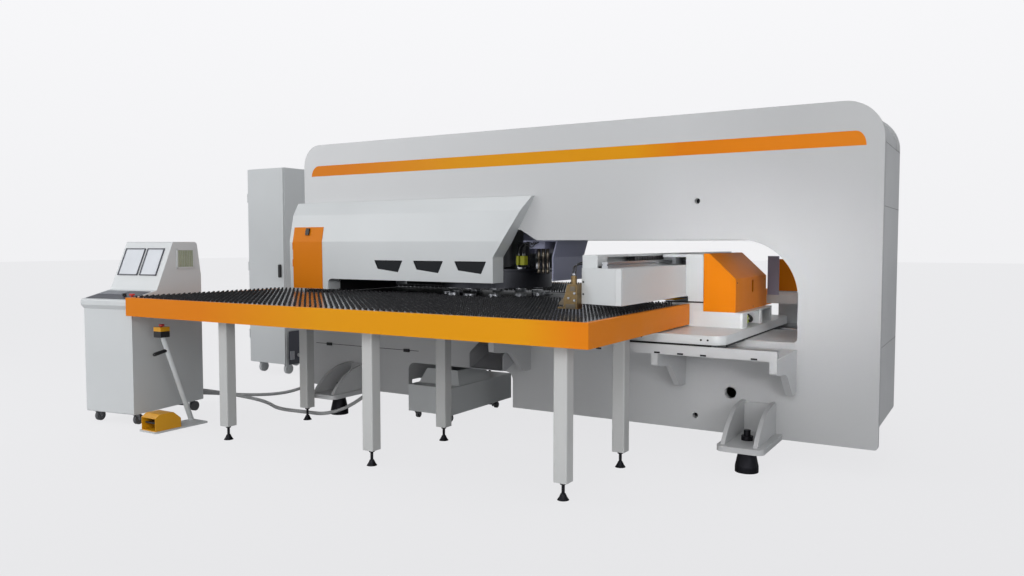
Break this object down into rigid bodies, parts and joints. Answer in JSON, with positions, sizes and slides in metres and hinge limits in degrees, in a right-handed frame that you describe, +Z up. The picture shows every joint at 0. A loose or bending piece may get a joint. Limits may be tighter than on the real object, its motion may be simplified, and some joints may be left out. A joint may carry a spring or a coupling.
{
  "type": "turret punch press",
  "caption": "Sheet-metal turret punch press: tall bridge frame, hooded turrets, brush tables with skirts, clamp beam on a saddle, console, foot switch and cabinet.",
  "frame": {"origin": "on the floor, in the middle of the whole machine's plan", "axes": "+X along the frame towards its open end, +Y from front to back, +Z up"},
  "size_m": [6.143, 3.6666, 2.151],
  "materials": {
    "frame_paint": "satin light grey paint",
    "cover_paint": "satin grey-white paint",
    "leg_paint": "satin light grey paint",
    "orange_paint": "satin orange paint",
    "guard_paint": "blue-grey paint",
    "dark_steel": "blackened steel",
    "bright_steel": "ground steel",
    "turret_steel": "oiled dark steel",
    "cast_grey": "painted casting",
    "motor_black": "black enamel",
    "table_black": "satin black paint",
    "brush_black": "black bristle",
    "clamp_bronze": "bronze-tinted steel",
    "clamp_steel": "dark tool steel",
    "dark_sheet": "grey sheet",
    "caster_rubber": "grey-black rubber",
    "zinc": "zinc plated",
    "stop_red": "gloss red",
    "knob_black": "matte black",
    "guard_yellow": "yellow enamel",
    "conduit_grey": "grey corrugated plastic"
  },
  "bodies": {
    "machine": {"frame": "frame_paint", "frame_pads": "dark_steel", "front_hood": "cover_paint", "rear_hood": "cover_paint", "ram_housing": "guard_paint", "turret_bearings": "cast_grey", "motors": "motor_black", "centre_table": "table_black", "table_aprons": "orange_paint", "table_decks": "table_black", "brush_mats": "brush_black", "table_legs": "leg_paint", "levelling_feet": "dark_steel", "rail_beds": "frame_paint", "saddle_rails": "bright_steel", "scrap_chute": "dark_sheet", "console_body": "cover_paint", "pedestal": "cover_paint", "foot_switch_guard": "guard_yellow", "cabinet_body": "cover_paint", "cable_box": "cover_paint", "conduit_1": "conduit_grey", "conduit_2": "conduit_grey", "conduit_3": "conduit_grey"},
    "access_door": {"access_door": "orange_paint"},
    "ram": {"ram_striker": "bright_steel"},
    "upper_turret": {"upper_turret": "turret_steel", "punches": "bright_steel"},
    "lower_turret": {"lower_turret": "turret_steel", "dies": "bright_steel"},
    "screw": {"saddle_screw": "bright_steel"},
    "saddle": {"saddle": "cover_paint", "guide_blocks": "cast_grey", "drive_cover": "orange_paint", "beam_motor": "motor_black"},
    "pinion": {"beam_pinion": "bright_steel"},
    "beam": {"beam": "cover_paint", "beam_rails": "bright_steel", "beam_rack": "bright_steel", "clamp_bodies": "clamp_bronze"},
    "jaw_1": {"clamp_jaw_1": "clamp_steel"},
    "jaw_2": {"clamp_jaw_2": "clamp_steel"},
    "jaw_3": {"clamp_jaw_3": "clamp_steel"},
    "trolley": {"trolley_bin": "cover_paint"},
    "trolley_axle": {"trolley_axle_wheels": "caster_rubber"},
    "trolley_fork_1": {"trolley_fork_1": "zinc"},
    "trolley_fork_2": {"trolley_fork_2": "zinc"},
    "trolley_wheel_1": {"trolley_wheel_1": "caster_rubber"},
    "trolley_wheel_2": {"trolley_wheel_2": "caster_rubber"},
    "console_stop": {"console_stop": "stop_red"},
    "console_knob": {"console_knob": "knob_black"},
    "console_axle": {"console_axle_wheels": "caster_rubber"},
    "console_fork_1": {"console_fork_1": "zinc"},
    "console_fork_2": {"console_fork_2": "zinc"},
    "console_wheel_1": {"console_wheel_1": "caster_rubber"},
    "console_wheel_2": {"console_wheel_2": "caster_rubber"},
    "pedestal_stop": {"pedestal_stop": "stop_red"},
    "foot_pedal": {"foot_pedal": "knob_black"},
    "cabinet_door": {"cabinet_door": "cover_paint"},
    "cabinet_handle": {"cabinet_handle": "knob_black"}
  },
  "joints": [
    {"name": "access_door_hinge", "type": "hinge", "parent": "machine", "child": "access_door", "pos_m": [-1.3955, -0.49897, 1.2], "axis": [0, 0, -1], "range_deg": [0, 110]},
    {"name": "ram_stroke", "type": "slide", "parent": "machine", "child": "ram", "axis": [0, 0, -1], "range_m": [0, 0.032]},
    {"name": "upper_turret_turn", "type": "hinge", "parent": "machine", "child": "upper_turret", "pos_m": [0.2715, 0.01933, 1.15], "axis": [0, 0, 1], "continuous": true},
    {"name": "lower_turret_turn", "type": "hinge", "parent": "machine", "child": "lower_turret", "pos_m": [0.2715, 0.01933, 0.948], "axis": [0, 0, 1], "continuous": true},
    {"name": "saddle_travel", "type": "slide", "parent": "machine", "child": "saddle", "axis": [1, 0, 0], "range_m": [-0.54, 0.29]},
    {"name": "screw_turn", "type": "hinge", "parent": "machine", "child": "screw", "pos_m": [1.5715, 0.62433, 0.727], "axis": [1, 0, 0], "range_deg": [-4870, 2620]},
    {"name": "beam_travel", "type": "slide", "parent": "saddle", "child": "beam", "axis": [0, 1, 0], "range_m": [-0.9, 0.9]},
    {"name": "pinion_turn", "type": "hinge", "parent": "saddle", "child": "pinion", "pos_m": [1.8815, 0.07433, 1.106], "axis": [1, 0, 0], "range_deg": [-1438, 1438]},
    {"name": "clamp_1_close", "type": "hinge", "parent": "beam", "child": "jaw_1", "pos_m": [1.5845, -1.28067, 1.032], "axis": [0, 1, 0], "range_deg": [-7, 6]},
    {"name": "clamp_2_close", "type": "hinge", "parent": "beam", "child": "jaw_2", "pos_m": [1.5845, -0.29067, 1.032], "axis": [0, 1, 0], "range_deg": [-7, 6]},
    {"name": "clamp_3_close", "type": "hinge", "parent": "beam", "child": "jaw_3", "pos_m": [1.5845, 0.69933, 1.032], "axis": [0, 1, 0], "range_deg": [-7, 6]},
    {"name": "trolley_pull", "type": "slide", "parent": "machine", "child": "trolley", "axis": [0, -1, 0], "range_m": [0, 1.2]},
    {"name": "trolley_axle_turn", "type": "hinge", "parent": "trolley", "child": "trolley_axle", "pos_m": [-0.0285, 0.22933, 0.025], "axis": [1, 0, 0], "continuous": true},
    {"name": "trolley_swivel_1", "type": "hinge", "parent": "trolley", "child": "trolley_fork_1", "pos_m": [-0.1815, -0.41067, 0.025], "axis": [0, 0, 1], "continuous": true},
    {"name": "trolley_wheel_1_turn", "type": "hinge", "parent": "trolley_fork_1", "child": "trolley_wheel_1", "pos_m": [-0.1815, -0.39067, 0.025], "axis": [1, 0, 0], "continuous": true},
    {"name": "trolley_swivel_2", "type": "hinge", "parent": "trolley", "child": "trolley_fork_2", "pos_m": [0.1185, -0.41067, 0.025], "axis": [0, 0, 1], "continuous": true},
    {"name": "trolley_wheel_2_turn", "type": "hinge", "parent": "trolley_fork_2", "child": "trolley_wheel_2", "pos_m": [0.1185, -0.39067, 0.025], "axis": [1, 0, 0], "continuous": true},
    {"name": "console_stop_press", "type": "slide", "parent": "machine", "child": "console_stop", "axis": [0, 0, -1], "range_m": [0, 0.006], "stiffness_N_per_m": 3000, "springref_m": -0.004},
    {"name": "console_knob_turn", "type": "hinge", "parent": "machine", "child": "console_knob", "pos_m": [-1.89207, -1.69322, 0.925], "axis": [0, 0, 1], "range_deg": [-45, 45]},
    {"name": "console_axle_turn", "type": "hinge", "parent": "machine", "child": "console_axle", "pos_m": [-2.08495, -1.14667, 0.038], "axis": [0.9877, 0.1564, 0], "continuous": true},
    {"name": "console_swivel_1", "type": "hinge", "parent": "machine", "child": "console_fork_1", "pos_m": [-2.18344, -1.73937, 0.038], "axis": [0, 0, 1], "continuous": true},
    {"name": "console_wheel_1_turn", "type": "hinge", "parent": "console_fork_1", "child": "console_wheel_1", "pos_m": [-2.18657, -1.71962, 0.038], "axis": [0.9877, 0.1564, 0], "continuous": true},
    {"name": "console_swivel_2", "type": "hinge", "parent": "machine", "child": "console_fork_2", "pos_m": [-1.80812, -1.67993, 0.038], "axis": [0, 0, 1], "continuous": true},
    {"name": "console_wheel_2_turn", "type": "hinge", "parent": "console_fork_2", "child": "console_wheel_2", "pos_m": [-1.81125, -1.66017, 0.038], "axis": [0.9877, 0.1564, 0], "continuous": true},
    {"name": "pedestal_stop_press", "type": "slide", "parent": "machine", "child": "pedestal_stop", "axis": [0, 0, -1], "range_m": [0, 0.006], "stiffness_N_per_m": 3000, "springref_m": -0.004},
    {"name": "foot_pedal_press", "type": "hinge", "parent": "machine", "child": "foot_pedal", "pos_m": [-1.4985, -1.62867, 0.046], "axis": [1, 0, 0], "range_deg": [0, 7], "stiffness_Nm_per_rad": 12, "springref_deg": -11.46},
    {"name": "cabinet_door_hinge", "type": "hinge", "parent": "machine", "child": "cabinet_door", "pos_m": [-3.0655, 0.49903, 1.1], "axis": [0, 0, -1], "range_deg": [0, 120]},
    {"name": "cabinet_handle_turn", "type": "hinge", "parent": "cabinet_door", "child": "cabinet_handle", "pos_m": [-2.6035, 0.49933, 1.105], "axis": [0, 1, 0], "range_deg": [0, 90]}
  ],
  "couplings": [
    {"joint": "lower_turret_turn", "follows": "upper_turret_turn", "ratio": 1},
    {"joint": "screw_turn", "follows": "saddle_travel", "rad_per_m": 157.08},
    {"joint": "pinion_turn", "follows": "beam_travel", "rad_per_m": -27.778}
  ]
}
